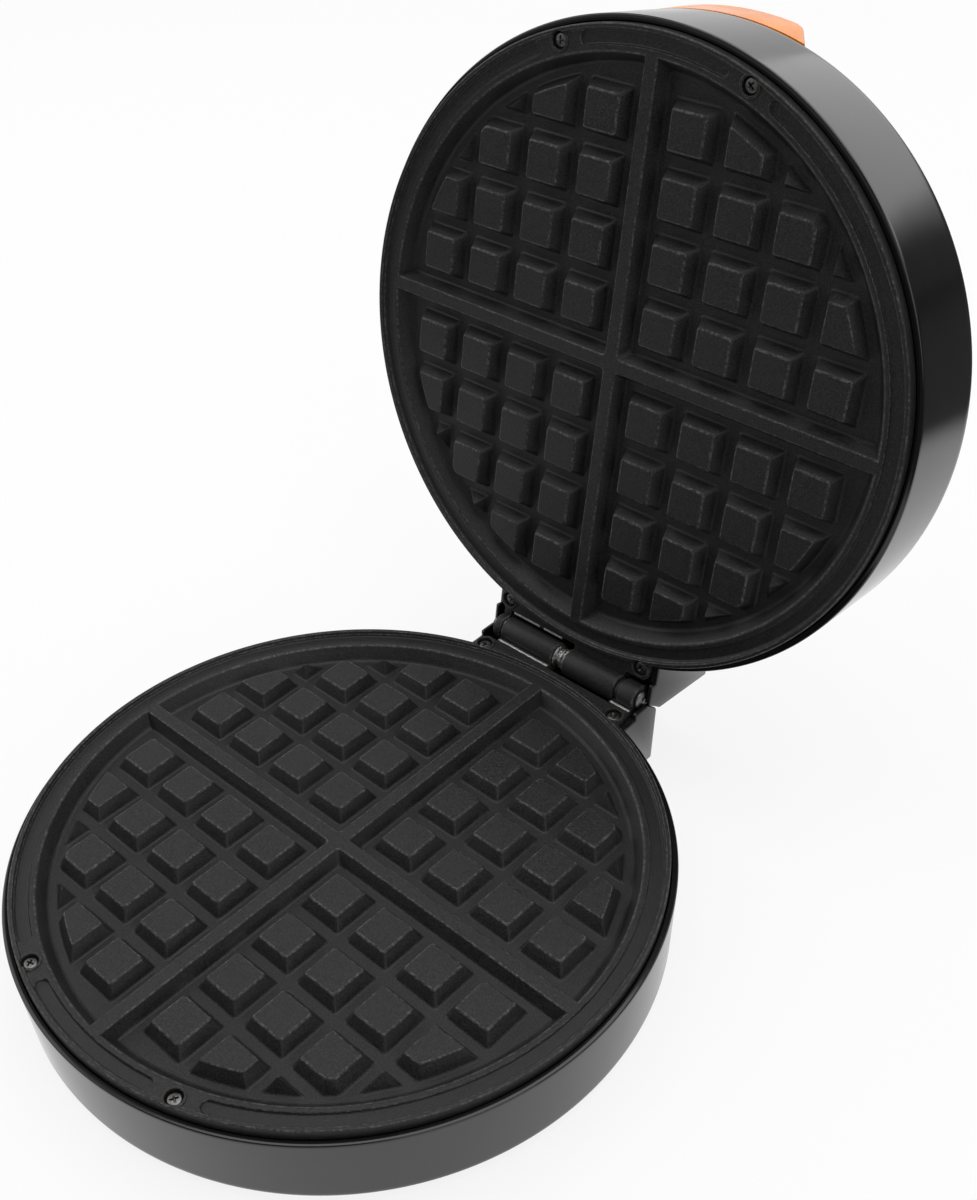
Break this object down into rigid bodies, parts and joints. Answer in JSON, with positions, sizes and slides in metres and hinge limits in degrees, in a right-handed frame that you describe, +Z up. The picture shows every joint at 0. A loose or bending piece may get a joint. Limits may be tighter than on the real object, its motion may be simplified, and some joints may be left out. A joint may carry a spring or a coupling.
{
  "type": "waffle maker",
  "caption": "Round countertop waffle maker with hinged lid, gridded cooking plates in four quarters, gloss black shells and an orange lift handle.",
  "frame": {"origin": "midway across the outer box with the lid open, on the surface the feet stand on", "axes": "+Z up, hinge at the back towards +Y with its pin along X, front of the base towards -Y"},
  "size_m": [0.1982, 0.2878, 0.2311],
  "materials": {
    "shell": "gloss black moulded plastic",
    "cooking_plate": "die-cast aluminium under a finely speckled dark non-stick coating",
    "plate_screw": "blackened steel cross-head screw",
    "inner_screw": "zinc-plated steel screw",
    "element_sheath": "oxidised steel tube",
    "reflector": "aluminised sheet",
    "ceramic": "glazed ceramic",
    "sleeve": "woven glass sleeve",
    "rubber": "matt black rubber",
    "pin": "bare steel",
    "spacer": "bare steel, worn bright",
    "handle": "gloss orange moulded plastic",
    "power_lens": "clear red plastic",
    "ready_lens": "clear green plastic",
    "lamp": "clear glass neon lamp"
  },
  "bodies": {
    "base": {"base_shell": "shell", "lower_plate": "cooking_plate", "lower_plate_screw_1": "plate_screw", "lower_plate_screw_2": "plate_screw", "lower_plate_screw_3": "plate_screw", "lower_plate_screw_4": "plate_screw", "lower_heating_element": "element_sheath", "lower_reflector": "reflector", "lower_reflector_screw_1": "inner_screw", "lower_reflector_screw_2": "inner_screw", "thermostat": "ceramic", "terminal_block": "ceramic", "element_lead_1": "sleeve", "element_lead_2": "sleeve", "foot_1": "rubber", "foot_2": "rubber", "foot_3": "rubber", "foot_4": "rubber", "hinge_pin": "pin", "hinge_spacer": "spacer", "cord_bushing": "rubber"},
    "lid": {"lid_shell": "shell", "upper_plate": "cooking_plate", "upper_plate_screw_1": "plate_screw", "upper_plate_screw_2": "plate_screw", "upper_plate_screw_3": "plate_screw", "upper_plate_screw_4": "plate_screw", "upper_heating_element": "element_sheath", "upper_reflector": "reflector", "upper_reflector_screw_1": "inner_screw", "upper_reflector_screw_2": "inner_screw", "thermal_fuse": "sleeve", "handle": "handle", "handle_screw_1": "inner_screw", "handle_screw_2": "inner_screw", "power_lens": "power_lens", "power_lamp": "lamp", "ready_lens": "ready_lens", "ready_lamp": "lamp"}
  },
  "joints": [
    {"name": "lid_hinge", "type": "hinge", "parent": "base", "child": "lid", "pos_m": [0, 0.06011, 0.031], "axis": [1, 0, 0], "range_deg": [0, 100.3]}
  ]
}
